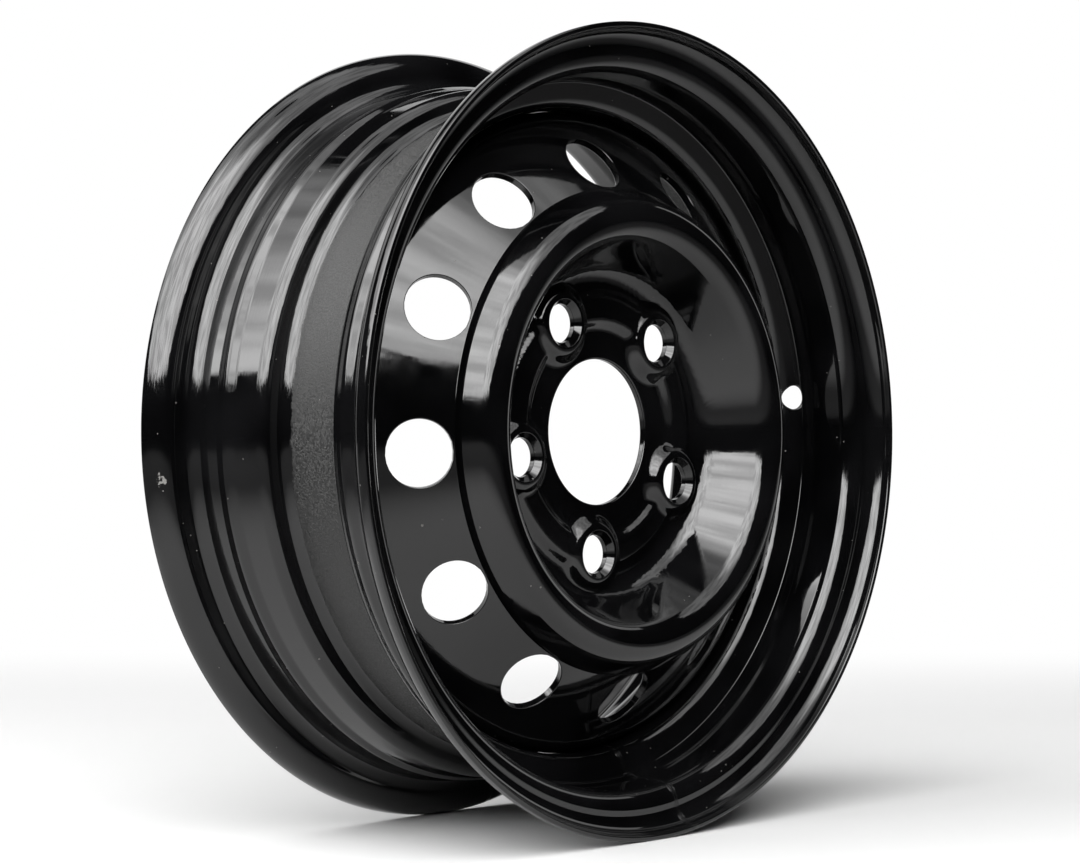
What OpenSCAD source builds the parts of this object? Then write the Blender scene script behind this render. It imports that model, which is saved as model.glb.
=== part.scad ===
// Pressed steel road wheel: a rolled drop-centre rim with a pressed disc
// seated in its well and stitch-welded there.
// The axle line is Y, the outboard face looks toward -Y and +Z is up.
// The origin is on the axle line, at the middle of the rim's width.

/* [Rim] */
// Diameter of the bead seats at the foot of the flanges
bead_seat_d = 329.4; // [318:0.1:342]
// Width between the two flange faces
rim_w = 114.3; // [106:0.1:130]
// Sheet thickness of the rim
rim_t = 2.6; // [2:0.1:3.2]
// Height of a flange over its bead seat
flange_h = 18; // [16:0.5:21]
// Width of a flange, from its face out to its lip
flange_w = 12.6; // [11:0.1:15]
// Radius of the flange curl on the tyre side
flange_r = 11; // [8:0.5:11.5]
// Radius at the tyre's heel, between bead seat and flange
heel_r = 6.5; // [4:0.5:7.5]
// Taper of the bead seats
seat_a = 5; // [3:0.5:8]
// Width of a bead seat, from the flange face to the foot of its hump
seat_w = 15.4; // [14:0.1:17]
// Width of a safety hump
hump_w = 9.8; // [8:0.1:12]
// Height of a safety hump over the bead seat's line
hump_h = 1.4; // [0.8:0.1:2]
// Radius of the bends along the humps and the well
bend_r = 6; // [4:0.5:8]

/* [Well] */
// Depth of the well below the bead seats
well_depth = 14.7; // [13:0.1:17]
// Width of the ledge between the outboard hump and its well wall
front_ledge = 2.8; // [2:0.1:5]
// Width of the ledge between the inboard hump and its well wall
rear_ledge = 16.4; // [13:0.1:19]
// Angle of the outboard well wall to the axle
front_wall_a = 69; // [60:1:75]
// Angle of the inboard well wall to the axle
rear_wall_a = 75; // [65:1:80]
// Diameter of the valve hole
valve_d = 11.8; // [10:0.1:12.5]
// Height of the valve hole's middle over the well
valve_h = 6.8; // [6:0.1:7.5]
// Angle of the valve hole round the wheel
valve_a = 7; // [0:0.1:30]

/* [Disc] */
// Offset of the hub face outboard of the rim's mid-plane
hub_offset = 30; // [26:0.5:33]
// Sheet thickness of the disc
disc_t = 3.6; // [3:0.1:4]
// Diameter of the crown's ridge
crown_d = 197.5; // [193:0.1:202]
// Height of the crown over the disc floor
crown_h = 30.5; // [27:0.5:33]
// Width of the crown between its two corners
crown_w = 19.1; // [17:0.1:21]
// Radius of the crown's corner toward the bowl
crown_bowl_r = 10.9; // [8:0.1:12]
// Radius of the crown's corner toward the flank
crown_flank_r = 15; // [12:0.1:17]
// Slope of the bowl wall inside the crown
bowl_a = 63; // [60:0.5:66]
// Radius of the bend between the disc floor and the bowl wall
bowl_bend_r = 10; // [7:0.5:12]
// Slope of the flank outside the crown
flank_a = 78; // [72:0.5:82]
// Drop from the crown to the crease at the foot of its flank
flank_h = 16.2; // [14:0.1:18]
// Distance of the cone's foot inboard of the outboard well corner
skirt_setback = 3.5; // [2:0.1:6]
// Radius of the bend from the cone into the skirt
skirt_r = 16; // [10:0.5:18]
// Fit between the skirt and the well
skirt_gap = 0.1; // [0.05:0.01:0.3]

/* [Hub and bolts] */
// Diameter of the hub bore
hub_bore_d = 66.6; // [57:0.1:72]
// Number of bolts
bolt_n = 5; // [4:1:6]
// Diameter of the bolt circle
bolt_pcd = 112; // [108:0.5:116]
// Angle of the first bolt round the wheel
bolt_a = 48.2; // [0:0.1:72]
// Diameter of the bolt hole's neck
bolt_hole_d = 17.5; // [14:0.1:18.5]
// Length of the bolt hole's neck
bolt_neck_l = 2.7; // [2:0.1:3]
// Diameter of the conical bolt seat at its mouth
bolt_seat_d = 22; // [20:0.1:23]
// Depth of the conical bolt seat
bolt_seat_h = 2.9; // [2:0.1:3.2]
// Diameter of the flat top of a bolt boss
boss_d = 27; // [25:0.5:29]
// Height of a bolt boss over the disc floor
boss_h = 5.4; // [4.6:0.1:6]
// Slope of a bolt boss's side
boss_a = 47; // [40:1:55]
// Width of the raised land along the bolt circle
land_w = 10; // [8:0.5:12]
// Height of the raised land over the disc floor
land_h = 2.75; // [2:0.05:3.5]
// Slope of the land's two sides
land_a = 34.5; // [28:0.5:45]

/* [Hand holes] */
// Number of hand holes
hand_n = 12; // [8:1:14]
// Diameter of a hand hole
hand_d = 29.2; // [24:0.1:31]
// Diameter of the circle through the hand holes
hand_pcd = 244.4; // [242:0.2:248]
// Angle of the first hand hole round the wheel
hand_a = 4.9; // [0:0.1:30]

/* [Welds] */
// Number of weld stitches
weld_n = 8; // [4:1:12]
// Leg of the fillet welds
weld_leg = 4; // [3:0.1:5]
// Length of a weld stitch
weld_l = 46; // [30:1:60]
// Angle of the first weld stitch round the wheel
weld_a = 10; // [0:1:45]

/* [Hidden] */

$fn = 180;
// Turn of one step along a rounded corner, in degrees
arc_step = 8;
// Share of a straight that its two rounded corners may use together
corner_fill = 0.98;
// Smallest radius left on the tight side of a bend
least_r = 0.3;
// Overrun of cuts past the faces that they open
over = 1;
// Length of a hole's punch, in thicknesses of its sheet
punch_reach = 4;
// Rounding of the hub bore's outboard edge
bore_edge_r = 0.9;
// Radius on the tight side of the disc's small bends
back_bend_r = 1;
press_r = disc_t + back_bend_r;
// Wall of the collar round the neck of a bolt hole
collar_wall = 3.3;
// Taper of that collar
collar_draft = 0.8;

// Rim section
bead_seat_r = bead_seat_d / 2;
flange_face_z = rim_w / 2;
lip_r = bead_seat_r + flange_h;
well_r = bead_seat_r - well_depth;
well_bore_r = well_r - rim_t;
hump_mid_s = seat_w + hump_w / 2;
hump_end_s = seat_w + hump_w;
front_shoulder = hump_end_s + front_ledge;
rear_shoulder = hump_end_s + rear_ledge;
front_well_z = flange_face_z - front_shoulder - wall_run(front_shoulder, front_wall_a);
rear_well_z = -flange_face_z + rear_shoulder + wall_run(rear_shoulder, rear_wall_a);
well_mid_z = (front_well_z + rear_well_z) / 2;

// Disc section
floor_z = hub_offset + disc_t;
crown_z = floor_z + crown_h;
crown_in_r = (crown_d - crown_w) / 2;
crown_out_r = (crown_d + crown_w) / 2;
bowl_foot_r = crown_in_r - crown_h / tan(bowl_a);
crease_r = crown_out_r + flank_h / tan(flank_a);
crease_z = crown_z - flank_h;
skirt_out_r = well_bore_r - skirt_gap;
skirt_corner_z = front_well_z - skirt_setback;
skirt_end_z = well_mid_z;
cone_a = atan2(crease_z - skirt_corner_z, skirt_out_r - crease_r);
bolt_r = bolt_pcd / 2;
hand_r = hand_pcd / 2;
hand_z = crease_z - (hand_r - crease_r) * tan(cone_a);
boss_z = floor_z + boss_h;
neck_z = boss_z - bolt_seat_h;
neck_end_z = neck_z - bolt_neck_l;

// Radius of the bead seat's line at a distance in from its flange face
function seat_r_at(s) = bead_seat_r - s * tan(seat_a);

// Axial run of a well wall from its shoulder down to the well
function wall_run(shoulder, angle) = (seat_r_at(shoulder) - well_r) / tan(angle);

function unit(v) = v / norm(v);

function left_of(v) = [-v[1], v[0]];

function point(path, i) = [path[i][0], path[i][1]];

// Length that rounding corner i takes from each of its two straights
function corner_need(path, i) =
    i == 0 || i == len(path) - 1 ? 0 :
    let (
        way_in = unit(point(path, i) - point(path, i - 1)),
        way_out = unit(point(path, i + 1) - point(path, i))
    )
    path[i][2] * tan(acos(min(way_in * way_out, 1)) / 2);

// Factor that lets the two corners of the straight after point i fit on it
function straight_fit(path, i) =
    let (need = corner_need(path, i) + corner_need(path, i + 1))
    need > 0 ? min(1, corner_fill * norm(point(path, i + 1) - point(path, i)) / need) : 1;

// An open path of [r, z, corner radius] points, with radii brought down to what their straights allow
function fitted(path) =
    let (last = len(path) - 1)
    [for (i = [0 : last])
        let (fit = min(straight_fit(path, max(i - 1, 0)), straight_fit(path, min(i, last - 1))))
        [path[i][0], path[i][1], path[i][2] * fit]];

// The arc of radius r that rounds corner b of the path a, b, c
function corner_arc(a, b, c, r) =
    let (
        u = unit(a - b),
        v = unit(c - b),
        half = acos(u * v) / 2,
        centre = b + unit(u + v) * r / sin(half),
        first = b + u * r / tan(half) - centre,
        turn = (180 - 2 * half) * sign(cross(-u, v)),
        steps = max(2, ceil(abs(turn) / arc_step))
    )
    [for (i = [0 : steps])
        let (t = turn * i / steps)
        centre + [first[0] * cos(t) - first[1] * sin(t), first[0] * sin(t) + first[1] * cos(t)]];

// The points of a fitted path with its corners rounded
function rounded(path) =
    let (last = len(path) - 1)
    concat(
        [point(path, 0)],
        [for (i = [1 : 1 : last - 1])
            each (path[i][2] > 0
                ? corner_arc(point(path, i - 1), point(path, i), point(path, i + 1), path[i][2])
                : [point(path, i)])],
        [point(path, last)]);

// A fitted path moved sideways to its left by t, with corner radii to suit
function beside(path, t) =
    let (last = len(path) - 1)
    fitted([for (i = [0 : last])
        let (
            before = max(i, 1),
            after = min(i, last - 1),
            n1 = left_of(unit(point(path, before) - point(path, before - 1))),
            n2 = left_of(unit(point(path, after + 1) - point(path, after))),
            q = point(path, i) + (n1 + n2) * t / (1 + n1 * n2),
            side = sign(cross(n1, n2))
        )
        [q[0], q[1], path[i][2] > 0 ? max(path[i][2] - side * t, least_r) : 0]]);

function backward(list) = [for (i = [len(list) - 1 : -1 : 0]) list[i]];

// Half of the rim's tyre side, from a lip to the well, with z counted from the flange face
function rim_half(shoulder, angle) =
    [
        [lip_r, -flange_w, 0],
        [lip_r, 0, flange_r],
        [bead_seat_r, 0, heel_r],
        [seat_r_at(seat_w), seat_w, bend_r],
        [seat_r_at(hump_mid_s) + hump_h, hump_mid_s, bend_r],
        [seat_r_at(hump_end_s), hump_end_s, bend_r],
        [seat_r_at(shoulder), shoulder, bend_r],
        [well_r, shoulder + wall_run(shoulder, angle), bend_r]
    ];

// The rim's tyre side from the inboard lip to the outboard lip
function rim_path() =
    fitted(concat(
        [for (q = rim_half(rear_shoulder, rear_wall_a)) [q[0], q[1] - flange_face_z, q[2]]],
        [for (q = backward(rim_half(front_shoulder, front_wall_a))) [q[0], flange_face_z - q[1], q[2]]]));

// The disc's outboard side from the hub floor to the end of the skirt
function disc_path() =
    let (
        step_w = land_h / tan(land_a),
        land_in_r = bolt_r - land_w / 2,
        land_out_r = bolt_r + land_w / 2
    )
    fitted([
        [hub_bore_d / 2, floor_z, 0],
        [land_in_r - step_w, floor_z, press_r],
        [land_in_r, floor_z + land_h, press_r],
        [land_out_r, floor_z + land_h, press_r],
        [land_out_r + step_w, floor_z, press_r],
        [bowl_foot_r, floor_z, bowl_bend_r],
        [crown_in_r, crown_z, crown_bowl_r],
        [crown_out_r, crown_z, crown_flank_r],
        [crease_r, crease_z, press_r],
        [skirt_out_r, skirt_corner_z, skirt_r],
        [skirt_out_r, skirt_end_z, 0]
    ]);

// The outboard side of one bolt boss, from its axis down past the disc floor
function boss_path() =
    let (foot_drop = boss_h + over, foot_r = boss_d / 2 + foot_drop / tan(boss_a))
    fitted([
        [0, boss_z, 0],
        [boss_d / 2, boss_z, press_r],
        [foot_r, boss_z - foot_drop, 0]
    ]);

module around(n, first) {
    for (i = [0 : n - 1])
        rotate([0, 0, first + i * 360 / n])
            children();
}

// Stands the wheel up: the axle goes from Z to Y with the outboard side toward -Y
module stand_up() {
    rotate([90, 0, 0])
        children();
}

// All of the space inboard of the disc's outboard side, down to the end of the skirt
module disc_front() {
    path = disc_path();
    past_bore = [for (i = [1 : len(path) - 1]) path[i]];
    rotate_extrude()
        polygon(concat(
            [[hub_bore_d / 2, skirt_end_z]],
            rounded(concat(
                [[hub_bore_d / 2, hub_offset, 0], [hub_bore_d / 2, floor_z, bore_edge_r]],
                past_bore))));
    around(bolt_n, bolt_a)
        translate([bolt_r, 0, 0])
            rotate_extrude()
                polygon(concat(rounded(boss_path()), [[0, boss_z - boss_h - over]]));
}

// All of the space inboard of the disc's inboard side, which the pressing leaves open
module disc_back() {
    back = rounded(beside(disc_path(), -disc_t));
    ends = back[len(back) - 1];
    rotate_extrude()
        polygon(concat(
            [[hub_bore_d / 2 - over, skirt_end_z - over], [hub_bore_d / 2 - over, hub_offset]],
            back,
            [[ends[0], skirt_end_z - over]]));
    boss_back = rounded(beside(boss_path(), -disc_t));
    around(bolt_n, bolt_a)
        translate([bolt_r, 0, 0])
            rotate_extrude()
                polygon(concat(boss_back, [[0, boss_back[len(boss_back) - 1][1]]]));
}

// The collar that the bolt seat draws out at the back of its boss
module seat_collar() {
    collar_r = bolt_hole_d / 2 + collar_wall;
    translate([bolt_r, 0, neck_end_z])
        cylinder(
            h = boss_z - disc_t / 2 - neck_end_z,
            r1 = collar_r - collar_draft,
            r2 = collar_r + collar_draft);
}

module bolt_hole() {
    flare = (bolt_seat_d - bolt_hole_d) / 2 / bolt_seat_h;
    translate([bolt_r, 0, hub_offset])
        cylinder(h = boss_z - hub_offset, d = bolt_hole_d);
    translate([bolt_r, 0, neck_z])
        cylinder(
            h = bolt_seat_h + over,
            d1 = bolt_hole_d,
            d2 = bolt_seat_d + 2 * over * flare);
}

// A round hole punched square to the disc's cone
module hand_hole() {
    translate([hand_r, 0, hand_z])
        rotate([0, cone_a, 0])
            cylinder(h = punch_reach * disc_t, d = hand_d, center = true);
}

// A round hole square to the outboard well wall
module valve_hole() {
    rotate([0, 0, valve_a])
        translate([well_r + valve_h, 0, front_well_z + valve_h / tan(front_wall_a)])
            rotate([0, front_wall_a - 90, 0])
                cylinder(h = punch_reach * rim_t, d = valve_d, center = true);
}

module rim() {
    color([0.03, 0.03, 0.03])
        stand_up()
            difference() {
                rotate_extrude()
                    polygon(concat(rounded(rim_path()), backward(rounded(beside(rim_path(), rim_t)))));
                valve_hole();
            }
}

module disc() {
    color([0.04, 0.04, 0.04])
        stand_up()
            difference() {
                union() {
                    difference() {
                        disc_front();
                        disc_back();
                    }
                    around(bolt_n, bolt_a)
                        seat_collar();
                }
                around(bolt_n, bolt_a)
                    bolt_hole();
                around(hand_n, hand_a)
                    hand_hole();
            }
}

// One fillet stitch in the corner between the skirt's end and the well
module weld_stitch() {
    sweep = weld_l / well_bore_r * 180 / PI;
    rotate_extrude(angle = sweep)
        translate([well_bore_r, skirt_end_z])
            intersection() {
                circle(weld_leg);
                translate([-weld_leg, -weld_leg])
                    square(weld_leg);
            }
}

module weld_beads() {
    color([0.05, 0.05, 0.05])
        stand_up()
            around(weld_n, weld_a)
                weld_stitch();
}

rim();
disc();
weld_beads();
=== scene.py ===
"""The looks of a pressed steel road wheel:
gloss black paint over a rolled rim, a pressed disc and its weld stitches."""

import math
import random

import bpy
import numpy as np
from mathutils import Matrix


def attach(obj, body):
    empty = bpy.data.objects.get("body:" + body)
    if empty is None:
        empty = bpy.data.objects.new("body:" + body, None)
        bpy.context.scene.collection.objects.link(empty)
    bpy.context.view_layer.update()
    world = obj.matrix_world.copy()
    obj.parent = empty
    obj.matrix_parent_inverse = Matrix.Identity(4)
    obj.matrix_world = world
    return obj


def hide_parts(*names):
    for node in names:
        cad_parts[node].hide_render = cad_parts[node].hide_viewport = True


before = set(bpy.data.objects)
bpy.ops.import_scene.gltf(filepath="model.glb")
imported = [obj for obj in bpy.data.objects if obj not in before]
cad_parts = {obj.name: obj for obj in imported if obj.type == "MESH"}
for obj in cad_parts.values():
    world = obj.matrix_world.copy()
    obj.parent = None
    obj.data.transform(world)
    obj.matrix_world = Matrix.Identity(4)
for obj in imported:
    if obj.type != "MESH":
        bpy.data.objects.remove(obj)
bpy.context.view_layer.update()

# Sizes in millimetres and angles in degrees, with the names of the part's source.
# The wheel is drawn lying down, with its axle along z and its outboard side up.

BEAD_SEAT_D = 329.4
RIM_W = 114.3
RIM_T = 2.6
FLANGE_H = 18
FLANGE_W = 12.6
FLANGE_R = 11
HEEL_R = 6.5
SEAT_A = 5
SEAT_W = 15.4
HUMP_W = 9.8
HUMP_H = 1.4
BEND_R = 6

WELL_DEPTH = 14.7
FRONT_LEDGE = 2.8
REAR_LEDGE = 16.4
FRONT_WALL_A = 69
REAR_WALL_A = 75
VALVE_D = 11.8
VALVE_H = 6.8
VALVE_A = 7

HUB_OFFSET = 30
DISC_T = 3.6
CROWN_D = 197.5
CROWN_H = 30.5
CROWN_W = 19.1
CROWN_BOWL_R = 10.9
BOWL_A = 63
BOWL_BEND_R = 10
FLANK_A = 78
FLANK_H = 16.2
SKIRT_SETBACK = 3.5
SKIRT_R = 16
SKIRT_GAP = 0.1
BACK_BEND_R = 1

HUB_BORE_D = 66.6
BOLT_N = 5
BOLT_PCD = 112
BOLT_A = 48.2
BOLT_HOLE_D = 17.5
BOLT_NECK_L = 2.7
BOLT_SEAT_D = 22
BOLT_SEAT_H = 2.9
BOSS_D = 27
BOSS_H = 5.4
BOSS_A = 47
LAND_W = 10
LAND_H = 2.75
LAND_A = 34.5
COLLAR_WALL = 3.3
COLLAR_DRAFT = 0.8

HAND_N = 12
HAND_D = 29.2
HAND_PCD = 244.4
HAND_A = 4.9

WELD_N = 8
WELD_LEG = 4
WELD_L = 46
WELD_A = 10

# Sizes that only the looks use

MM = 0.001
CORNER_FILL = 0.98
ARC_TURN = math.radians(7)
ARC_CHORD = 0.15
EDGE_STEPS = 4
RIM_SPAN = 4
DISC_SPAN = 1.8
RIM_COLUMNS = 288
DISC_COLUMNS = 180
ROLLED_EDGE_R = 0.9
SHEARED_EDGE_R = 0.4
VALVE_EDGE_R = 0.8
BOSS_BLEND = 2.2
HOLE_MARGIN = 0.1
HOLE_RING_SHARES = (0, 0.08, 0.2, 0.36, 0.56, 0.78)
BOSS_FRONT_STEPS = (0.0, 0.8, 1.6, 2.4, 3.4, 4.4, 5.6, 7, 8.4)
BOSS_FRONT_SHARES = (0.08, 0.16, 0.25, 0.34, 0.44, 0.54, 0.65, 0.76, 0.88)
BOSS_BACK_STEPS = (3.4, 4.6, 6, 8.4)
BOSS_BACK_SHARES = (0.12, 0.26, 0.4, 0.55, 0.7, 0.85)
VALVE_REACH = 13
VALVE_HALF_COLUMNS = 5
HAND_MARGIN = 3
HAND_HALF_COLUMNS = 7

# The crown's outer flank in the looks: a shoulder, then a low steep step down to the cone's fold

SHOULDER_A = 57
SHOULDER_R = 10.7
STEP_H = 2.8
STEP_A = 84.6
FOLD_INSET = 1.6
FOLD_R = 0.5

# Derived sizes

bead_seat_r = BEAD_SEAT_D / 2
flange_face_z = RIM_W / 2
lip_r = bead_seat_r + FLANGE_H
well_r = bead_seat_r - WELL_DEPTH
well_bore_r = well_r - RIM_T
hump_mid_s = SEAT_W + HUMP_W / 2
hump_end_s = SEAT_W + HUMP_W
front_shoulder = hump_end_s + FRONT_LEDGE
rear_shoulder = hump_end_s + REAR_LEDGE


def tan_deg(angle):
    return math.tan(math.radians(angle))


def seat_r_at(distance):
    """Radius of the bead seat's line at a distance in from its flange face."""
    return bead_seat_r - distance * tan_deg(SEAT_A)


def wall_run(shoulder, angle):
    """Axial run of a well wall from its shoulder down to the well."""
    return (seat_r_at(shoulder) - well_r) / tan_deg(angle)


front_well_z = flange_face_z - front_shoulder - wall_run(front_shoulder, FRONT_WALL_A)
rear_well_z = -flange_face_z + rear_shoulder + wall_run(rear_shoulder, REAR_WALL_A)
well_mid_z = (front_well_z + rear_well_z) / 2
valve_r = well_r + VALVE_H

press_r = DISC_T + BACK_BEND_R
floor_z = HUB_OFFSET + DISC_T
crown_z = floor_z + CROWN_H
crown_in_r = (CROWN_D - CROWN_W) / 2
crown_out_r = (CROWN_D + CROWN_W) / 2
bowl_foot_r = crown_in_r - CROWN_H / tan_deg(BOWL_A)
crease_r = crown_out_r + FLANK_H / tan_deg(FLANK_A)
crease_z = crown_z - FLANK_H
skirt_out_r = well_bore_r - SKIRT_GAP
skirt_corner_z = front_well_z - SKIRT_SETBACK
skirt_end_z = well_mid_z
cone_a = math.atan2(crease_z - skirt_corner_z, skirt_out_r - crease_r)
fold_r, fold_z = crease_r - FOLD_INSET, crease_z + FOLD_INSET * math.tan(cone_a)
fold_end_r = fold_r + FOLD_R * math.tan((math.radians(STEP_A) - cone_a) / 2) * math.cos(cone_a)
step_r, step_z = fold_r - STEP_H / tan_deg(STEP_A), fold_z + STEP_H
shoulder_r = step_r - (crown_z - step_z) / tan_deg(SHOULDER_A)
bolt_r = BOLT_PCD / 2
hand_r = HAND_PCD / 2
boss_z = floor_z + BOSS_H
seat_mouth_r = BOLT_SEAT_D / 2
neck_r = BOLT_HOLE_D / 2
neck_z = boss_z - BOLT_SEAT_H
neck_end_z = neck_z - BOLT_NECK_L


# Section lines

def unit(vector):
    return vector / np.linalg.norm(vector)


def turned(vector, angles):
    """A plane vector turned by each of some angles."""
    c, s = np.cos(angles), np.sin(angles)
    return np.stack([vector[0] * c - vector[1] * s, vector[0] * s + vector[1] * c], -1)


def trace(path, span):
    """Points and directions along a section of (r, z, corner radius) points, with its corners rounded.
    Two corners share the straight between them by what each needs."""
    corners = np.array([point[:2] for point in path], float)
    runs = np.diff(corners, axis=0)
    sizes = np.linalg.norm(runs, axis=1)
    runs /= sizes[:, None]
    crosses = runs[:-1, 0] * runs[1:, 1] - runs[:-1, 1] * runs[1:, 0]
    turns = np.arctan2(crosses, (runs[:-1] * runs[1:]).sum(1))
    corner_needs = [point[2] * abs(math.tan(turn / 2)) for point, turn in zip(path[1:], turns)]
    needs = np.array([0, *corner_needs, 0])
    fits = CORNER_FILL * sizes / np.maximum(needs[:-1] + needs[1:], 1e-9)

    points, ways = [corners[:1]], [runs[:1]]
    for i, turn in enumerate(turns, 1):
        fit = min(1, fits[i - 1], fits[i])
        radius, inset = path[i][2] * fit, needs[i] * fit
        start = corners[i] - runs[i - 1] * inset
        centre = start + turned(runs[i - 1], np.sign(turn) * math.pi / 2) * radius
        chords = math.ceil(abs(turn) * min(1 / ARC_TURN, radius / ARC_CHORD))
        angles = np.linspace(0, turn, 1 + max(2, chords))
        points.append(centre + turned(start - centre, angles))
        ways.append(turned(runs[i - 1], angles))
    points.append(corners[-1:])
    ways.append(unit(corners[-1] - corners[-2])[None])

    all_points, all_ways = [points[0]], [ways[0]]
    for stop, way, begin, first_way in zip(points, ways, points[1:], ways[1:]):
        gap = np.linalg.norm(begin[0] - stop[-1])
        shares = np.linspace(0, 1, 1 + max(1, math.ceil(gap / span)))[1:-1, None]
        all_points += [stop[-1] + (begin[0] - stop[-1]) * shares, begin]
        all_ways += [np.repeat(way[-1:], len(shares), 0), first_way]
    return np.concatenate(all_points), np.concatenate(all_ways)


class Sheet:
    """The section of a pressed sheet: its outer side, its two edges and its back,
    as rows of points with normals."""

    def __init__(self, path, side, thickness, span, first_edge_r, last_edge_r):
        path = [list(point) for point in path]
        for end, inner, radius in ((0, 1, first_edge_r), (-1, -2, last_edge_r)):
            way = unit(np.subtract(path[inner][:2], path[end][:2]))
            path[end][:2] = np.add(path[end][:2], way * radius)
        self.thickness = thickness
        self.points, ways = trace(path, span)
        self.normals = side * np.stack([-ways[:, 1], ways[:, 0]], -1)
        steps = np.linalg.norm(np.diff(self.points, axis=0), axis=1)
        self.lengths = np.concatenate([[0], np.cumsum(steps)])
        self.count = len(self.points)
        last = self.edge(-1, ways[-1], last_edge_r)
        first = self.edge(0, -ways[0], first_edge_r)
        back = self.points - thickness * self.normals
        self.loop_points = np.concatenate([self.points, last[0], back[::-1], first[0][::-1]])
        self.loop_normals = np.concatenate([self.normals, last[1], -self.normals[::-1], first[1][::-1]])
        self.back_start = self.count + len(last[0])

    def edge(self, end, way, radius):
        """The rounded edge that joins the outer side to the back at one end."""
        corner, normal = self.points[end], self.normals[end]
        angles = np.linspace(0, math.pi / 2, EDGE_STEPS + 1)[1:, None]
        front = corner + radius * (way * np.sin(angles) - normal * (1 - np.cos(angles)))
        front_normals = normal * np.cos(angles) + way * np.sin(angles)
        back = front - normal * 2 * ((front - corner) @ normal)[:, None] - normal * self.thickness
        back_normals = front_normals - normal * 2 * (front_normals @ normal)[:, None]
        return np.concatenate([front, back[::-1]]), np.concatenate([front_normals, back_normals[::-1]])

    def back_row(self, row):
        """The row of the loop that lies behind a row of the outer side."""
        return self.back_start + self.count - 1 - row

    def at(self, lengths, angles, depth=0):
        """Points and normals of the sheet at distances along its section and angles round the axle."""
        r, z = (np.interp(lengths, self.lengths, column) for column in self.points.T)
        nr, nz = (np.interp(lengths, self.lengths, column) for column in self.normals.T)
        size = np.hypot(nr, nz)
        nr, nz = nr / size, nz / size
        return spun(r - depth * nr, z - depth * nz, angles), spun(nr, nz, angles)


def spun(r, z, angles):
    """Wheel points at radius r, height z and angles round the axle."""
    r, z, angles = np.broadcast_arrays(r, z, angles)
    return np.stack([r * np.cos(angles), r * np.sin(angles), z], -1)


class Skin:
    """The points, normals and faces of one piece, gathered patch by patch."""

    def __init__(self):
        self.points, self.normals, self.faces = [], [], []
        self.count = 0

    def add(self, points, normals):
        """Takes in a block of points and returns their numbers in the same layout."""
        layout = points.shape[:-1]
        self.points.append(points.reshape(-1, 3))
        self.normals.append(np.broadcast_to(normals, points.shape).reshape(-1, 3))
        numbers = np.arange(self.count, self.count + math.prod(layout)).reshape(layout)
        self.count += math.prod(layout)
        return numbers

    def quilt(self, numbers, cells=None):
        """Faces between neighbouring rows and columns of a block of numbers."""
        faces = np.stack([numbers[:-1, :-1], numbers[:-1, 1:], numbers[1:, 1:], numbers[1:, :-1]], -1)
        self.faces.append(faces.reshape(-1, 4) if cells is None else faces[cells])

    def rings(self, rings):
        """Faces between closed rings of numbers, each the same length."""
        rings = np.array(rings)
        self.quilt(np.concatenate([rings, rings[:, :1]], 1))

    def piece(self, name, material):
        """Finishes the mesh: stood up in the frame, painted,
        riding on the wheel and standing for its CAD node."""
        points, normals = np.concatenate(self.points), np.concatenate(self.normals)
        faces = np.concatenate(self.faces)
        corners = points[faces]
        looks = np.cross(corners[:, 2] - corners[:, 0], corners[:, 3] - corners[:, 1])
        inward = (looks * normals[faces].sum(1)).sum(1) < 0
        faces[inward] = faces[inward, ::-1]
        mesh = bpy.data.meshes.new(name)
        mesh.from_pydata(stood_up(points * MM), [], faces.tolist())
        mesh.shade_smooth()
        mesh.normals_split_custom_set_from_vertices(stood_up(normals))
        mesh.materials.append(material)
        piece = bpy.data.objects.new(name + "_painted", mesh)
        bpy.context.scene.collection.objects.link(piece)
        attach(piece, "root")
        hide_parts(name)


def stood_up(vectors):
    """Turns the axle from z to y, with the outboard side toward -y."""
    return np.stack([vectors[:, 0], -vectors[:, 2], vectors[:, 1]], -1)


class SpunSheet:
    """A sheet turned round the axle into a grid of points, with blocks left out of it for holes."""

    def __init__(self, sheet, columns, first_angle):
        self.sheet, self.columns, self.first_angle = sheet, columns, math.radians(first_angle)
        self.pitch = 2 * math.pi / columns
        self.skin = Skin()
        angles = self.first_angle + self.pitch * np.arange(columns)
        points = spun(sheet.loop_points[:, :1], sheet.loop_points[:, 1:], angles)
        normals = spun(sheet.loop_normals[:, :1], sheet.loop_normals[:, 1:], angles)
        self.numbers = self.skin.add(points, normals)
        self.cells = np.ones(self.numbers.shape, bool)

    def column_at(self, angle):
        return round((angle - self.first_angle) / self.pitch)

    def row_at(self, length):
        return int(np.abs(self.sheet.lengths - length).argmin())

    def block(self, rows, columns, back):
        """Leaves out a block of cells and returns its outline:
        numbers, distances along the section, and angles."""
        (top, bottom), (left, right) = rows, columns
        outline = [(top, c) for c in range(left, right)]
        outline += [(r, right) for r in range(top, bottom)]
        outline += [(bottom, c) for c in range(right, left, -1)]
        outline += [(r, left) for r in range(bottom, top, -1)]
        row, column = np.array(outline).T
        loop_row = self.sheet.back_row(row) if back else row
        first_cell = self.sheet.back_row(bottom) if back else top
        for c in range(left, right):
            self.cells[first_cell:first_cell + bottom - top, c % self.columns] = False
        angles = self.first_angle + self.pitch * column
        return self.numbers[loop_row, column % self.columns], self.sheet.lengths[row], angles

    def close(self):
        """Makes the faces of the grid cells that no hole has taken."""
        grid = np.concatenate([self.numbers, self.numbers[:1]])
        grid = np.concatenate([grid, grid[:, :1]], 1)
        self.skin.quilt(grid, self.cells)


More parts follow.
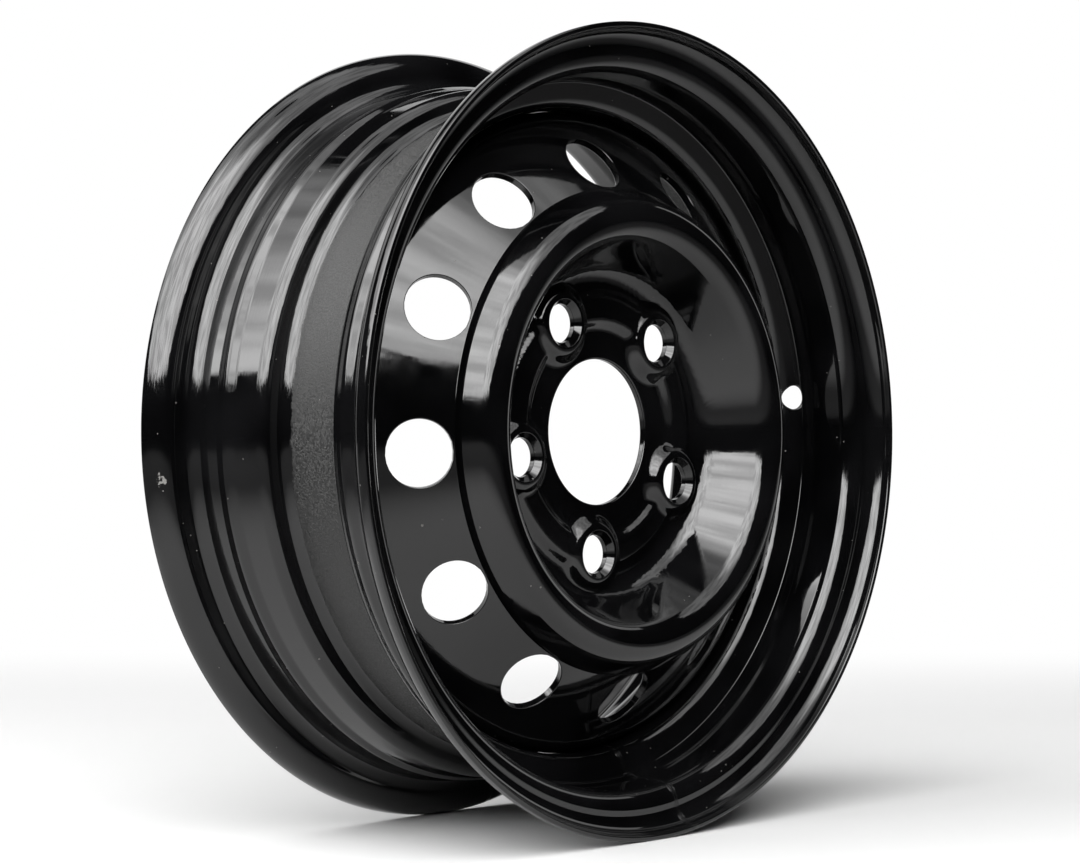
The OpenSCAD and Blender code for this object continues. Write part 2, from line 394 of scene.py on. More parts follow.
def punch(spun_sheet, length, angle, diameter, half_rows, half_columns, edge_r):
    """A round hole square to the sheet, with rounded edges, in place of a block of cells on both sides.
    Where it would pass the block's first row, it is cut straight just short of that."""
    sheet, skin = spun_sheet.sheet, spun_sheet.skin
    column = spun_sheet.column_at(angle)
    columns = column - half_columns, column + half_columns
    rows = tuple(spun_sheet.row_at(length + way) for way in half_rows)
    r = np.interp(length, sheet.lengths, sheet.points[:, 0])
    slope = np.interp(length + 1, sheet.lengths, sheet.points[:, 0]) - r
    sides = []
    for back in (False, True):
        numbers, lengths, angles = spun_sheet.block(rows, columns, back)
        course = np.arctan2((angles - angle) * r, lengths - length)

        def circle(radius):
            across = radius * np.sin(course)
            along = length + radius * np.cos(course) + across ** 2 / (2 * r) * slope
            along = np.maximum(along, lengths.min() + HOLE_MARGIN + diameter / 2 + edge_r - radius)
            return along, angle + np.arcsin(across / np.interp(along, sheet.lengths, sheet.points[:, 0]))

        depth = sheet.thickness if back else 0
        facing = -1 if back else 1
        rim_along, rim_angles = circle(diameter / 2 + edge_r)
        rings = []
        for share in HOLE_RING_SHARES:
            along = rim_along + share * (lengths - rim_along)
            points, normals = sheet.at(along, rim_angles + share * (angles - rim_angles), depth)
            rings.append(skin.add(points, facing * normals))
        skin.rings(rings + [numbers])

        along, angles = circle(diameter / 2)
        wall, normals = sheet.at(along, angles, sheet.thickness / 2)
        inward = wall.mean(0) - wall
        inward -= normals * (inward * normals).sum(1, keepdims=True)
        inward /= np.linalg.norm(inward, axis=1, keepdims=True)
        edge = [rings[0]]
        for turn in np.linspace(0, math.pi / 2, EDGE_STEPS + 1)[1:]:
            along, angles = circle(diameter / 2 + edge_r * (1 - math.sin(turn)))
            sunk = edge_r * (1 - math.cos(turn))
            points, normals = sheet.at(along, angles, depth - sunk if back else sunk)
            edge.append(skin.add(points, facing * normals * math.cos(turn) + inward * math.sin(turn)))
        skin.rings(edge)
        sides.append(edge[-1])
    skin.rings(sides)


# Paint
# Places inside a material are in metres, bump heights and depths are in millimetres,
# and a noise scale counts features in a metre.

PIGMENT_DEEP, PIGMENT_PALE = (0.0008, 0.0008, 0.0009), (0.0022, 0.0022, 0.0024)
PIGMENT_SCALE = 22.0
GLOSS_LOW, GLOSS_HIGH = 0.03, 0.075
GLOSS_SCALE = 95.0
PEEL_SCALE = 400.0
WAVE_SCALE = 42.0
LINE_SCALE = 900.0
LINE_DRIFT = 0.0006
DUST_COLOUR = (0.07, 0.068, 0.064)
DUST_ROUGHNESS = 0.6
DUST_CELLS = ((260.0, 0.075), (110.0, 0.055))
DRY_DARK, DRY_PALE = (0.002, 0.002, 0.002), (0.013, 0.013, 0.0125)
DRY_SMOOTH, DRY_ROUGH = 0.4, 0.8
DRY_EDGE_SCALE = 130.0
DRY_EDGE_SPREAD = 0.9
GRAIN_SCALE = 1150.0
GRAIN_DEPTH = 0.08
SEAM_ANGLE = -81.8
SEAM_HALF_W = 0.0022
SEAM_H = 0.1
SCRATCH_SCALE = 2400.0
SCRATCH_STRETCH = 0.1
SCRATCH_DEPTH = 0.14
SCRATCH_ROUGHNESS = 0.35
CHIP_COLOUR = (0.1, 0.097, 0.092)
CHIP_ROUGHNESS = 0.55
CHIP_PLACE = (-0.1782, 0.0608, -0.0225)
CHIP_SHAPE = (1.2, 1.2, 0.55)
CHIP_REACH = 0.0055
CHIP_SCALE = 600.0
DENT_PLACE = (-0.011, -0.0247, -0.142)
DENT_REACH = 0.005
DENT_H = 0.25
BEAD_PATCH_SCALE = 260.0


class Graph:
    """Adds nodes to a tree, with each input given as a number or as another node's output."""

    def __init__(self, tree):
        self.tree = tree

    def add(self, kind, settings=None, **inputs):
        node = self.tree.nodes.new("ShaderNode" + kind)
        for name, value in (settings or {}).items():
            setattr(node, name, value)
        for name, value in inputs.items():
            self.put(node.inputs[name.replace("_", " ")], value)
        return node

    def put(self, socket, value):
        if isinstance(value, bpy.types.NodeSocket):
            self.tree.links.new(value, socket)
        else:
            socket.default_value = value

    def math(self, operation, *values, clamp=False):
        node = self.add("Math", {"operation": operation, "use_clamp": clamp})
        for socket, value in zip(node.inputs, values):
            self.put(socket, value)
        return node.outputs[0]

    def vector(self, operation, *values):
        node = self.add("VectorMath", {"operation": operation})
        for socket, value in zip(node.inputs, values):
            self.put(socket, value)
        return node.outputs["Value" if operation in ("DISTANCE", "LENGTH", "DOT_PRODUCT") else "Vector"]

    def step(self, value, start, stop, low=0.0, high=1.0):
        """A soft step from low to high as the value goes from start to stop."""
        node = self.add("MapRange", {"interpolation_type": "SMOOTHSTEP"})
        numbers = {"Value": value, "From Min": start, "From Max": stop, "To Min": low, "To Max": high}
        for name, number in numbers.items():
            self.put(node.inputs[name], number)
        return node.outputs["Result"]

    def noise(self, place, scale, detail=2.0):
        return self.add("TexNoise", Vector=place, Scale=scale, Detail=detail).outputs["Fac"]

    def blend(self, share, first, second):
        """A colour or a number between two others."""
        colour = not isinstance(second, float)
        node = self.add("Mix", {"data_type": "RGBA" if colour else "FLOAT"})
        kind = "Color" if colour else "Float"
        named = {(socket.name, socket.identifier.split("_")[-1]): socket for socket in node.inputs}
        self.put(named["Factor", "Float"], share)
        for name, value in (("A", first), ("B", second)):
            if colour and not isinstance(value, bpy.types.NodeSocket):
                value = (*value, 1)
            self.put(named[name, kind], value)
        return next(socket for socket in node.outputs if socket.identifier.endswith("_" + kind))

    def place(self):
        return self.add("TexCoord").outputs["Object"]

    def round_axle(self, place):
        """Radius, distance along the axle, and angle of a place on the wheel."""
        parts = self.add("SeparateXYZ", Vector=place).outputs
        radius = self.math("SQRT", self.math("ADD", self.math("MULTIPLY", parts["X"], parts["X"]),
                                             self.math("MULTIPLY", parts["Z"], parts["Z"])))
        return radius, parts["Y"], self.math("ARCTAN2", parts["Z"], parts["X"])

    def use(self, group, **inputs):
        """Places a node group and returns its outputs."""
        node = self.add("Group", {"node_tree": group}, **inputs)
        return node.outputs


FILM_SOCKETS = (("Base Color", "Color"), ("Roughness", "Float"), ("Height", "Float"))


def new_group(name, inputs, outputs):
    """A shader node group with named sockets: its tree, its graph, and its inputs and outputs."""
    tree = bpy.data.node_groups.new(name, "ShaderNodeTree")
    for side, sockets in (("INPUT", inputs), ("OUTPUT", outputs)):
        for socket_name, kind in sockets:
            tree.interface.new_socket(socket_name, in_out=side, socket_type="NodeSocket" + kind)
    given, out = tree.nodes.new("NodeGroupInput").outputs, tree.nodes.new("NodeGroupOutput").inputs
    return tree, Graph(tree), given, out


def make_paint_film():
    """Sprayed gloss paint: an uneven black, patches of lesser gloss, orange peel and slow waves."""
    depths = (("Peel Depth", "Float"), ("Wave Depth", "Float"))
    tree, graph, given, out = new_group("paint film", depths, FILM_SOCKETS)
    place = graph.place()
    pale = graph.step(graph.noise(place, PIGMENT_SCALE, 1.0), 0.35, 0.65)
    graph.put(out["Base Color"], graph.blend(pale, PIGMENT_DEEP, PIGMENT_PALE))
    gloss = graph.noise(place, GLOSS_SCALE, 1.0)
    graph.put(out["Roughness"], graph.step(gloss, 0.3, 0.7, GLOSS_LOW, GLOSS_HIGH))
    peel = graph.math("MULTIPLY", graph.noise(place, PEEL_SCALE, 0.0), given["Peel Depth"])
    wave = graph.math("MULTIPLY", graph.noise(place, WAVE_SCALE, 0.0), given["Wave Depth"])
    graph.put(out["Height"], graph.math("ADD", peel, wave))
    return tree


def make_forming_lines():
    """Fine lines round the axle that rolling and pressing leave in the sheet."""
    height = ("Height", "Float")
    tree, graph, given, out = new_group("forming lines", (height, ("Depth", "Float")), (height,))
    radius, axial, angle = graph.round_axle(graph.place())
    drift = graph.math("MULTIPLY", angle, LINE_DRIFT)
    section = graph.add("CombineXYZ", X=radius, Y=axial, Z=drift).outputs["Vector"]
    lines = graph.math("MULTIPLY", graph.noise(section, LINE_SCALE, 1.0), given["Depth"])
    graph.put(out["Height"], graph.math("ADD", given["Height"], lines))
    return tree


def make_dust():
    """Scattered specks of pale dust on the paint."""
    sockets = FILM_SOCKETS[:2]
    tree, graph, given, out = new_group("dust specks", (*sockets, ("Amount", "Float")), sockets)
    place = graph.place()
    specks = None
    for scale, size in DUST_CELLS:
        cells = graph.add("TexVoronoi", Vector=place, Scale=scale)
        chance = graph.add("SeparateColor", Color=cells.outputs["Color"]).outputs
        wide = graph.math("MULTIPLY", graph.math("ADD", chance["Green"], 0.35), size)
        inside = graph.math("LESS_THAN", cells.outputs["Distance"], wide)
        chosen = graph.math("MULTIPLY", inside, graph.math("LESS_THAN", chance["Red"], given["Amount"]))
        specks = chosen if specks is None else graph.math("MAXIMUM", specks, chosen)
    graph.put(out["Base Color"], graph.blend(specks, given["Base Color"], DUST_COLOUR))
    graph.put(out["Roughness"], graph.blend(specks, given["Roughness"], DUST_ROUGHNESS))
    return tree


def make_dry_spray():
    """Paint that landed half dry: a matt sandy grain, as thick as the cover says."""
    tree, graph, given, out = new_group("dry spray", (*FILM_SOCKETS, ("Cover", "Float")), FILM_SOCKETS)
    place = graph.place()
    grain = graph.noise(place, GRAIN_SCALE, 1.0)
    edge = graph.noise(place, DRY_EDGE_SCALE, 2.0)
    spread = graph.math("MULTIPLY_ADD", edge, DRY_EDGE_SPREAD, -DRY_EDGE_SPREAD / 2)
    ragged = graph.math("ADD", given["Cover"], spread)
    cover = graph.math("MULTIPLY", graph.step(ragged, 0.25, 0.75), graph.step(given["Cover"], 0.0, 0.12))
    sand = graph.blend(graph.step(grain, 0.35, 0.7), DRY_DARK, DRY_PALE)
    graph.put(out["Base Color"], graph.blend(cover, given["Base Color"], sand))
    matt = graph.step(grain, 0.3, 0.7, DRY_SMOOTH, DRY_ROUGH)
    graph.put(out["Roughness"], graph.blend(cover, given["Roughness"], matt))
    bumps = graph.math("MULTIPLY", graph.math("MULTIPLY", grain, cover), GRAIN_DEPTH)
    graph.put(out["Height"], graph.math("ADD", given["Height"], bumps))
    return tree


paint_film = make_paint_film()
forming_lines = make_forming_lines()
dust_specks = make_dust()
dry_spray = make_dry_spray()


def new_material(name):
    material = bpy.data.materials.new(name)
    material.use_nodes = True
    material.node_tree.nodes.clear()
    return material, Graph(material.node_tree)


def painted(graph, colour, roughness, height):
    """The painted surface itself, with its bump."""
    normal = graph.add("Bump", Distance=MM, Height=height).outputs["Normal"]
    surface = graph.add("BsdfPrincipled", Base_Color=colour, Roughness=roughness, Normal=normal)
    graph.add("OutputMaterial", Surface=surface.outputs["BSDF"])


def weathered(graph, colour, roughness, height, cover, dust):
    """The paint's colour, roughness and height, half dry where the cover says and with dust over it."""
    sprayed = graph.use(dry_spray, Base_Color=colour, Roughness=roughness, Height=height, Cover=cover)
    dusty = graph.use(dust_specks, Base_Color=sprayed["Base Color"], Roughness=sprayed["Roughness"],
                      Amount=dust)
    return dusty["Base Color"], dusty["Roughness"], sprayed["Height"]


def rim_paint():
    """Gloss black with a half-dry coat in the well, the ground butt weld across the strip,
    and a chip at the inboard lip."""
    material, graph = new_material("rim paint")
    place = graph.place()
    radius, axial, angle = graph.round_axle(place)
    film = graph.use(paint_film, Peel_Depth=0.004, Wave_Depth=0.02)
    lined = graph.use(forming_lines, Height=film["Height"], Depth=0.003)

    turn = graph.math("ABSOLUTE", graph.math("SUBTRACT", angle, math.radians(SEAM_ANGLE)))
    off_seam = graph.math("MULTIPLY", turn, radius)
    seam = graph.step(off_seam, SEAM_HALF_W, SEAM_HALF_W / 3)
    along_seam = graph.math("MULTIPLY", axial, SCRATCH_STRETCH)
    scratches = graph.add("CombineXYZ", X=off_seam, Y=along_seam, Z=0.0).outputs["Vector"]
    ground = graph.math("MULTIPLY", graph.noise(scratches, SCRATCH_SCALE, 1.0), seam)
    height = graph.math("MULTIPLY_ADD", ground, SCRATCH_DEPTH, lined["Height"])
    height = graph.math("MULTIPLY_ADD", seam, SEAM_H, height)
    roughness = graph.math("MULTIPLY_ADD", ground, SCRATCH_ROUGHNESS, film["Roughness"])

    in_well = graph.step(radius, (well_r + 5) * MM, (well_r + 1) * MM)
    tyre_side = graph.math("GREATER_THAN", radius, (well_r - RIM_T / 2) * MM)
    past_rear = graph.step(axial, -(rear_well_z + 1) * MM, -(rear_well_z + 6) * MM)
    before_front = graph.step(axial, -(front_well_z + 2) * MM, -(front_well_z - 1) * MM)
    between = graph.math("MULTIPLY", past_rear, before_front)
    cover = graph.math("MULTIPLY", graph.math("MULTIPLY", in_well, tyre_side), between)
    colour, roughness, height = weathered(graph, film["Base Color"], roughness, height, cover, 0.14)

    from_chip = graph.vector("MULTIPLY", graph.vector("SUBTRACT", place, CHIP_PLACE), CHIP_SHAPE)
    near = graph.step(graph.vector("LENGTH", from_chip), CHIP_REACH, CHIP_REACH / 3)
    chip = graph.step(graph.math("ADD", near, graph.noise(place, CHIP_SCALE, 2.0)), 1.5, 1.58)
    colour = graph.blend(chip, colour, CHIP_COLOUR)
    painted(graph, colour, graph.blend(chip, roughness, CHIP_ROUGHNESS), height)
    return material


def disc_paint():
    """Gloss black over a pressing, with a small dent in the skirt's bend and a dry coat in the skirt."""
    material, graph = new_material("disc paint")
    place = graph.place()
    _, axial, _ = graph.round_axle(place)
    film = graph.use(paint_film, Peel_Depth=0.0035, Wave_Depth=0.016)
    lined = graph.use(forming_lines, Height=film["Height"], Depth=0.002)
    dent = graph.step(graph.vector("DISTANCE", place, DENT_PLACE), DENT_REACH, 0.0)
    height = graph.math("MULTIPLY_ADD", dent, DENT_H, lined["Height"])
    inboard = graph.step(axial, -(skirt_corner_z - 2) * MM, -skirt_end_z * MM)
    painted(graph, *weathered(graph, film["Base Color"], film["Roughness"], height, inboard, 0.07))
    return material


def weld_paint():
    """The same paint over the weld stitches, thin and half dry on the crests of their ripples."""
    material, graph = new_material("weld paint")
    film = graph.use(paint_film, Peel_Depth=0.01, Wave_Depth=0.02)
    cover = graph.step(graph.noise(graph.place(), BEAD_PATCH_SCALE, 3.0), 0.4, 0.65)
    painted(graph, *weathered(graph, film["Base Color"], film["Roughness"], film["Height"], cover, 0.5))
    return material


# Rim

def rim_half(shoulder, angle):
    """Half of the rim's tyre side from a lip to the well, with z counted from the flange face."""
    return [
        (lip_r, -FLANGE_W, 0),
        (lip_r, 0, FLANGE_R),
        (bead_seat_r, 0, HEEL_R),
        (seat_r_at(SEAT_W), SEAT_W, BEND_R),
        (seat_r_at(hump_mid_s) + HUMP_H, hump_mid_s, BEND_R),
        (seat_r_at(hump_end_s), hump_end_s, BEND_R),
        (seat_r_at(shoulder), shoulder, BEND_R),
        (well_r, shoulder + wall_run(shoulder, angle), BEND_R),
    ]


def build_rim():
    rear = [(r, z - flange_face_z, radius) for r, z, radius in rim_half(rear_shoulder, REAR_WALL_A)]
    front = [(r, flange_face_z - z, radius) for r, z, radius in rim_half(front_shoulder, FRONT_WALL_A)]
    sheet = Sheet(rear + front[::-1], -1, RIM_T, RIM_SPAN, ROLLED_EDGE_R, ROLLED_EDGE_R)
    rim = SpunSheet(sheet, RIM_COLUMNS, VALVE_A)
    on_wall = (sheet.points[:, 1] > front_well_z) & (sheet.points[:, 1] < flange_face_z - front_shoulder)
    valve_length = np.interp(valve_r, sheet.points[on_wall, 0], sheet.lengths[on_wall])
    reach = (-VALVE_REACH, VALVE_REACH)
    punch(rim, valve_length, math.radians(VALVE_A), VALVE_D, reach, VALVE_HALF_COLUMNS, VALVE_EDGE_R)
    rim.close()
    rim.skin.piece("rim", rim_paint())


# Disc

def disc_path():
    """The disc's outboard side from the hub bore to the end of the skirt."""
    step_w = LAND_H / tan_deg(LAND_A)
    land_in_r, land_out_r = bolt_r - LAND_W / 2, bolt_r + LAND_W / 2
    return [
        (HUB_BORE_D / 2, floor_z, 0),
        (land_in_r - step_w, floor_z, press_r),
        (land_in_r, floor_z + LAND_H, press_r),
        (land_out_r, floor_z + LAND_H, press_r),
        (land_out_r + step_w, floor_z, press_r),
        (bowl_foot_r, floor_z, BOWL_BEND_R),
        (crown_in_r, crown_z, CROWN_BOWL_R),
        (shoulder_r, crown_z, SHOULDER_R),
        (step_r, step_z, press_r),
        (fold_r, fold_z, FOLD_R),
        (skirt_out_r, skirt_corner_z, SKIRT_R),
        (skirt_out_r, skirt_end_z, 0),
    ]


def boss_path():
    """The outboard side of one bolt boss, from its axis down past the disc floor."""
    drop = BOSS_H + 6
    return [
        (0, boss_z, 0),
        (BOSS_D / 2, boss_z, press_r),
        (BOSS_D / 2 + drop / tan_deg(BOSS_A), boss_z - drop, 0),
    ]


def bolt_hole_path():
    """The bolt hole's wall, from the top of its boss down the seat and neck and up round the collar."""
    collar_r = neck_r + COLLAR_WALL - COLLAR_DRAFT
    return [
        (seat_mouth_r + SHEARED_EDGE_R, boss_z, 0),
        (seat_mouth_r, boss_z, SHEARED_EDGE_R),
        (neck_r, neck_z, SHEARED_EDGE_R),
        (neck_r, neck_end_z, SHEARED_EDGE_R),
        (collar_r, neck_end_z, SHEARED_EDGE_R),
        (collar_r + COLLAR_DRAFT, boss_z - DISC_T - SHEARED_EDGE_R, 0),
    ]


class BoltField:
    """The outboard side of the disc's centre as heights over the plane:
    the floor and land with the bosses merged in."""

    def __init__(self, sheet):
        inner = sheet.points[:, 0] < crown_in_r - CROWN_BOWL_R / 2
        self.floor_r, self.floor_h = sheet.points[inner].T
        self.boss_r, self.boss_h = trace(boss_path(), DISC_SPAN)[0].T
        angles = math.radians(BOLT_A) + 2 * math.pi / BOLT_N * np.arange(BOLT_N)
        self.centres = bolt_r * np.stack([np.cos(angles), np.sin(angles)], -1)

    def height(self, places):
        """Height over each place, with a soft step where a boss runs into the floor or the land."""
        floor = np.interp(np.linalg.norm(places, axis=-1), self.floor_r, self.floor_h)
        reach = np.linalg.norm(places[..., None, :] - self.centres, axis=-1).min(-1)
        boss = np.interp(reach, self.boss_r, self.boss_h)
        nearness = np.maximum(BOSS_BLEND - np.abs(floor - boss), 0) / BOSS_BLEND
        return np.maximum(floor, boss) + nearness ** 2 * BOSS_BLEND / 4

    def at(self, places):
        """Points and normals over each place."""
        step = 0.2
        slopes = [
            (self.height(places + way) - self.height(places - way)) / (2 * step)
            for way in (np.array([step, 0]), np.array([0, step]))]
        normals = np.stack([-slopes[0], -slopes[1], np.ones_like(slopes[0])], -1)
        points = np.concatenate([places, self.height(places)[..., None]], -1)
        return points, normals / np.linalg.norm(normals, axis=-1, keepdims=True)


def draw_boss(disc, field, angle, rows, half_columns):
    """One bolt boss with its conical seat, in place of a block of the disc's grid on both sides."""
    centre = bolt_r * np.array([math.cos(angle), math.sin(angle)])
    column = disc.column_at(angle)
    columns = column - half_columns, column + half_columns
    front, behind = (disc.block(rows, columns, back)[0] for back in (False, True))
    outline = np.concatenate(disc.skin.points)[front, :2]
    ways = outline - centre
    ways = ways / np.linalg.norm(ways, axis=1, keepdims=True)
    mouth_r = seat_mouth_r + SHEARED_EDGE_R
    sides = (
        (False, front, BOSS_FRONT_STEPS, BOSS_FRONT_SHARES),
        (True, behind, BOSS_BACK_STEPS, BOSS_BACK_SHARES))
    ends = []
    for back, numbers, steps, shares in sides:
        circles = [centre + ways * (mouth_r + step) for step in steps]
        circles += [circles[-1] + share * (outline - circles[-1]) for share in shares]
        rings = []
        for places in circles:
            points, normals = field.at(places)
            if back:
                points, normals = points - DISC_T * normals, -normals
            rings.append(disc.skin.add(points, normals))
        disc.skin.rings(rings + [numbers])
        ends.append(rings[0])

    wall_points, wall_ways = trace(bolt_hole_path(), DISC_SPAN)
    hole = [ends[0]]
    for (reach, height), (way_r, way_z) in zip(wall_points[1:], wall_ways[1:]):
        points = np.concatenate([centre + ways * reach, np.full((len(ways), 1), height)], 1)
        normals = np.concatenate([ways * way_z, np.full((len(ways), 1), -way_r)], 1)
        hole.append(disc.skin.add(points, normals))
    disc.skin.rings(hole + [ends[1]])


def build_disc():
    sheet = Sheet(disc_path(), 1, DISC_T, DISC_SPAN, ROLLED_EDGE_R, SHEARED_EDGE_R)
    disc = SpunSheet(sheet, DISC_COLUMNS, HAND_A)
    on_cone = sheet.points[:, 0] > crease_r
    hand_length = np.interp(hand_r, sheet.points[on_cone, 0], sheet.lengths[on_cone])
    fold_end = sheet.lengths[np.abs(sheet.points[:, 0] - fold_end_r).argmin()]
    reach = (fold_end - hand_length, HAND_D / 2 + SHEARED_EDGE_R + HAND_MARGIN)
    for i in range(HAND_N):
        angle = math.radians(HAND_A + i * 360 / HAND_N)
        punch(disc, hand_length, angle, HAND_D, reach, HAND_HALF_COLUMNS, SHEARED_EDGE_R)

    field = BoltField(sheet)
    on_floor = sheet.points[:, 0] < crown_in_r - CROWN_BOWL_R / 2
    block_radii = (HUB_BORE_D / 2 + 1.6, bowl_foot_r + 7)
    rows = tuple(int(np.abs(sheet.points[on_floor, 0] - r).argmin()) for r in block_radii)
    half_columns = DISC_COLUMNS // BOLT_N // 2
    for i in range(BOLT_N):
        draw_boss(disc, field, math.radians(BOLT_A + i * 360 / BOLT_N), rows, half_columns)
    disc.close()
    disc.skin.piece("disc", disc_paint())


# Weld stitches

BEAD_STATIONS = 140
BEAD_TURNS = 13
BEAD_FILL = 0.93
RIPPLE_PITCH = 1.9
RIPPLE_H = 0.045
RIPPLE_LAG = 0.55
WAVER_H = 0.025
WAVER_TURN = 17
END_TAPER = 1.3
FLAT_END = 0.02


def build_welds():
    """Rippled fillet beads in the corner between the skirt's end and the well."""
    luck = random.Random(13)
    skin = Skin()
    sweep = WELD_L / well_bore_r
    turns = np.linspace(0, math.pi / 2, BEAD_TURNS)
    for i in range(WELD_N):
        begin = math.radians(WELD_A + i * 360 / WELD_N)
        along = np.linspace(0, 1, BEAD_STATIONS)
        taper = np.clip(np.minimum(along, 1 - along) * WELD_L / (END_TAPER * WELD_LEG), FLAT_END, 1)
        leg = WELD_LEG * np.sqrt(1 - (1 - taper) ** 2)
        phase, waver = luck.uniform(0, 6.28), luck.uniform(0, 6.28)
        ripple_count = WELD_L / RIPPLE_PITCH * along[:, None] - RIPPLE_LAG * np.sin(2 * turns)
        ripples = RIPPLE_H * np.sin(2 * math.pi * ripple_count + phase)
        wavering = WAVER_H * np.sin(WAVER_TURN * along[:, None] + waver)
        legs = leg[:, None] * (BEAD_FILL + ripples + wavering)
        angles = (begin + sweep * along)[:, None]
        arc = spun(well_bore_r - legs * np.cos(turns), skirt_end_z - legs * np.sin(turns), angles)
        root = spun(well_bore_r, skirt_end_z, angles)
        along_bead, across_bead = np.gradient(arc, axis=0), np.gradient(arc, axis=1)
        normals = np.cross(along_bead, across_bead)
        normals /= np.linalg.norm(normals, axis=-1, keepdims=True)
        normals *= np.sign((normals * (arc - root)).sum(-1, keepdims=True))
        numbers = skin.add(arc, normals)
        skin.quilt(numbers)
        roots = skin.add(root, spun(math.sqrt(0.5), math.sqrt(0.5), angles))
        skin.quilt(np.concatenate([numbers[:, -1:], roots, numbers[:, :1]], 1))
    skin.piece("weld_beads", weld_paint())


build_rim()
build_disc()
build_welds()


# Studio

FLOOR_Z = -lip_r * MM
FAR_AZIMUTH = 132
PAPER_START, PAPER_FULL = 0.25, 1.2
# The second paper colour is painted shade, for the floor's near side away from the wheel, where lamp
# light would fall off
PAPER_COLOUR, PAPER_SHADE = (0.4, 0.4, 0.4), (0.08, 0.08, 0.08)
PAPER_NEAR, PAPER_END = 0.36, 0.85
FLOOR_REACH = 7
WALL_REACH = 4
WALL_TOP = 3.0
DOME_REACH = 2.5
DOME_TOP = 86
DOME_COLUMNS, DOME_ROWS = 180, 24
RAGGED_SCALE = 9.0
RAGGED_H = 14.0
CLOUD_SCALE = 3.5
CLOUD_LOW, CLOUD_HIGH = 0.7, 1.15
GAP_GLOW = (0.008, 0.008, 0.008, 1)
CAMERA_PLACE = (-0.9068, -0.8231, -0.0177)
CAMERA_TURN = (90.841, 0, -47.689)
CAMERA_LENS = 87.673
# Lower edge of the light dome, and its glow, at azimuths round the wheel
EDGE_AZIMUTHS = (-180, -150, -128, -38, -23, -8, 37, 52, 67, 90, 130, 180)
EDGE_HEIGHTS = (50, 28, 13, 12, 22, 33, 41, 47, 56, 66, 66, 50)
GLOW_AZIMUTHS = (-180, -158, -143, -128, -98, -68, -38, -8, 7, 52, 82, 180)
GLOW_LEVELS = (1, 2, 4, 8, 9, 11, 11, 7, 2.6, 1.7, 1, 1)
TOP_GLOW = 1.7


def add_stage_mesh(name, points, faces, material):
    mesh = bpy.data.meshes.new(name)
    mesh.from_pydata(points, [], faces)
    mesh.materials.append(material)
    stage = bpy.data.objects.new(name, mesh)
    bpy.context.scene.collection.objects.link(stage)
    return stage


def heading(azimuth, elevation, reach):
    """A place in the studio, with the azimuth counted from the wheel's outboard side toward +x."""
    azimuth, elevation = math.radians(azimuth), math.radians(elevation)
    level = reach * math.cos(elevation)
    return level * math.sin(azimuth), -level * math.cos(azimuth), reach * math.sin(elevation)


def paper_material(name, colour, background):
    """Pale paper that turns to plain white where it shows as background, by the share given."""
    material, graph = new_material(name)
    path = graph.add("LightPath").outputs
    seen = graph.math("ADD", path["Is Camera Ray"], path["Is Glossy Ray"], clamp=True)
    seen = graph.math("ADD", seen, path["Is Transmission Ray"], clamp=True)
    mix = graph.add("MixShader", Fac=graph.math("MULTIPLY", seen, background(graph)))
    graph.put(mix.inputs[1], graph.add("BsdfDiffuse", Color=colour(graph)).outputs["BSDF"])
    graph.put(mix.inputs[2], graph.add("Emission").outputs["Emission"])
    graph.add("OutputMaterial", Surface=mix.outputs["Shader"])
    return material


def floor_paper():
    """Paper that is white toward the far side, with painted shade toward the near side: its colour
    darkens away from the wheel, standing in for lamp light falling off with distance.
    """
    def toward_far_side(graph):
        ahead = graph.vector("DOT_PRODUCT", graph.place(), heading(FAR_AZIMUTH, 0, 1))
        away = graph.vector("LENGTH", graph.vector("MULTIPLY", graph.place(), (1, 1, 0)))
        return ahead, away, graph.step(graph.math("DIVIDE", ahead, away), 0.3, 0.75)

    def colour(graph):
        _, away, facing = toward_far_side(graph)
        # Painted shade: away from the wheel on the near side the paper's colour darkens, for lamp light
        # falling off with distance
        off_wheel = graph.step(away, PAPER_NEAR, PAPER_END)
        painted_falloff_shade = graph.math("MULTIPLY", off_wheel, graph.math("SUBTRACT", 1.0, facing))
        return graph.blend(painted_falloff_shade, PAPER_COLOUR, PAPER_SHADE)

    def background(graph):
        ahead, _, facing = toward_far_side(graph)
        return graph.math("MULTIPLY", graph.step(ahead, PAPER_START, PAPER_FULL), facing)

    return paper_material("floor paper", colour, background)


def build_floor():
    """A pale floor with painted shade on its near side, and a white paper wall on the far side of the
    wheel.
    """
    sides = ((-1, -1), (1, -1), (1, 1), (-1, 1))
    corners = [(x * FLOOR_REACH, y * FLOOR_REACH, FLOOR_Z) for x, y in sides]
    add_stage_mesh("studio_floor", corners, [(0, 1, 2, 3)], floor_paper())
    columns = [heading(FAR_AZIMUTH + turn, 0, WALL_REACH) for turn in range(-55, 56, 5)]
    wall = [(x, y, z) for x, y, _ in columns for z in (FLOOR_Z, WALL_TOP)]
    faces = [(i, i + 2, i + 3, i + 1) for i in range(0, len(wall) - 2, 2)]
    wall_paper = paper_material("wall paper", lambda graph: (*PAPER_COLOUR, 1), lambda graph: 1.0)
    add_stage_mesh("studio_wall", wall, faces, wall_paper)


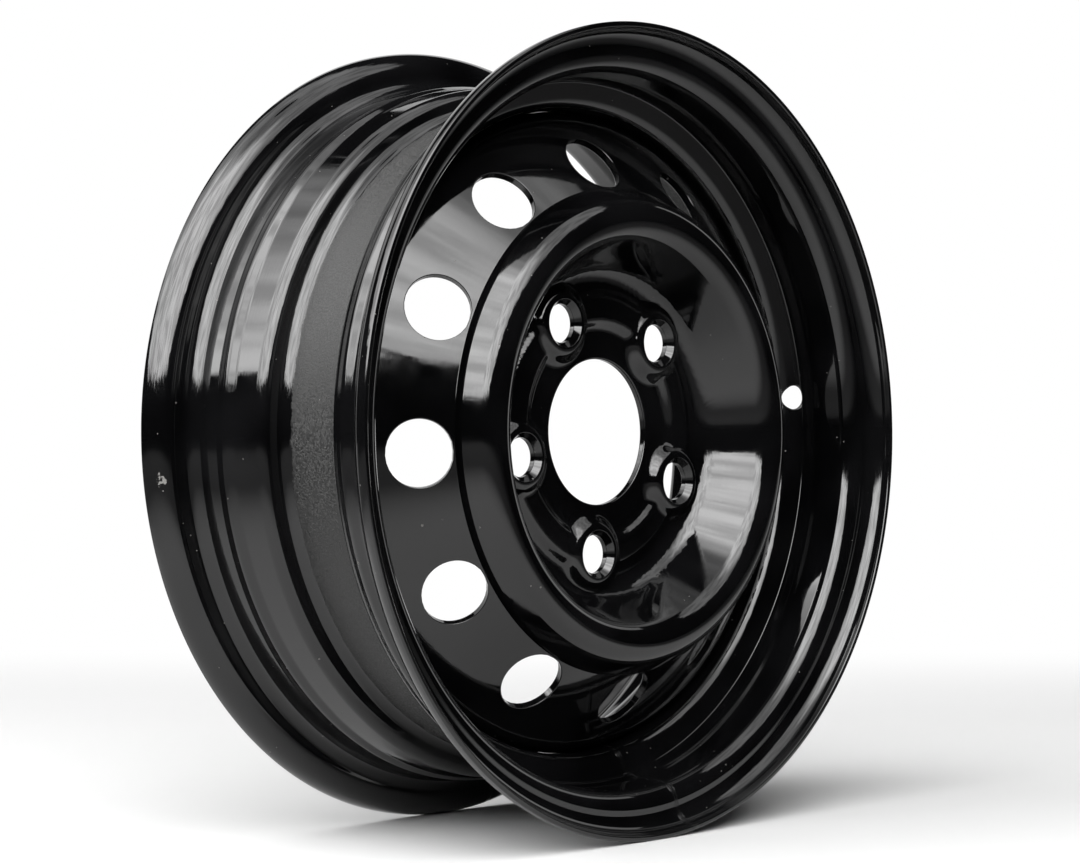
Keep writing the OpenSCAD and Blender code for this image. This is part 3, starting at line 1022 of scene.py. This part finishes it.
def add_light_dome():
    """A cloth dome that glows most on the left, with a ragged lower edge that is high on the right."""
    points, glow, rise = [], [], []
    for azimuth in np.linspace(-180, 180, DOME_COLUMNS + 1):
        low = np.interp(azimuth, EDGE_AZIMUTHS, EDGE_HEIGHTS) - 3
        level = np.interp(azimuth, GLOW_AZIMUTHS, GLOW_LEVELS)
        for share in np.linspace(0, 1, DOME_ROWS + 1):
            height = low + (DOME_TOP - low) * share
            points.append(heading(azimuth, height, DOME_REACH))
            glow.append(np.interp(height, (62, 74), (level, TOP_GLOW)))
            rise.append(height - low)
    step = DOME_ROWS + 1
    faces = [(c * step + r, c * step + r + 1, (c + 1) * step + r + 1, (c + 1) * step + r)
             for c in range(DOME_COLUMNS) for r in range(DOME_ROWS)]
    material, graph = new_material("dome cloth")
    level = graph.add("Attribute", {"attribute_name": "glow"}).outputs["Fac"]
    height = graph.add("Attribute", {"attribute_name": "rise"}).outputs["Fac"]
    ragged = graph.math("MULTIPLY_ADD", graph.noise(graph.place(), RAGGED_SCALE, 3.0), RAGGED_H, height)
    edge = graph.step(ragged, 9.5, 11.5)
    cloud = graph.noise(graph.place(), CLOUD_SCALE, 3.0)
    clouds = graph.step(cloud, 0.36, 0.64, CLOUD_LOW, CLOUD_HIGH)
    strength = graph.math("MULTIPLY", graph.math("MULTIPLY", level, clouds), edge)
    lamp = graph.add("Emission", Strength=strength)
    graph.add("OutputMaterial", Surface=lamp.outputs["Emission"])
    dome = add_stage_mesh("light_dome", points, faces, material)
    for name, values in (("glow", glow), ("rise", rise)):
        dome.data.attributes.new(name, "FLOAT", "POINT").data.foreach_set("value", values)
    dome.data.shade_smooth()


def add_camera():
    lens = bpy.data.cameras.new("camera")
    lens.lens, lens.sensor_width, lens.sensor_fit = CAMERA_LENS, 36, "HORIZONTAL"
    camera = bpy.data.objects.new("camera", lens)
    camera.location = CAMERA_PLACE
    camera.rotation_euler = [math.radians(turn) for turn in CAMERA_TURN]
    bpy.context.scene.collection.objects.link(camera)
    bpy.context.scene.camera = camera


build_floor()
add_light_dome()
add_camera()

world = bpy.data.worlds.new("studio")
world.use_nodes = True
world.node_tree.nodes["Background"].inputs["Color"].default_value = GAP_GLOW
bpy.context.scene.world = world
bpy.context.scene.view_settings.view_transform = "Standard"
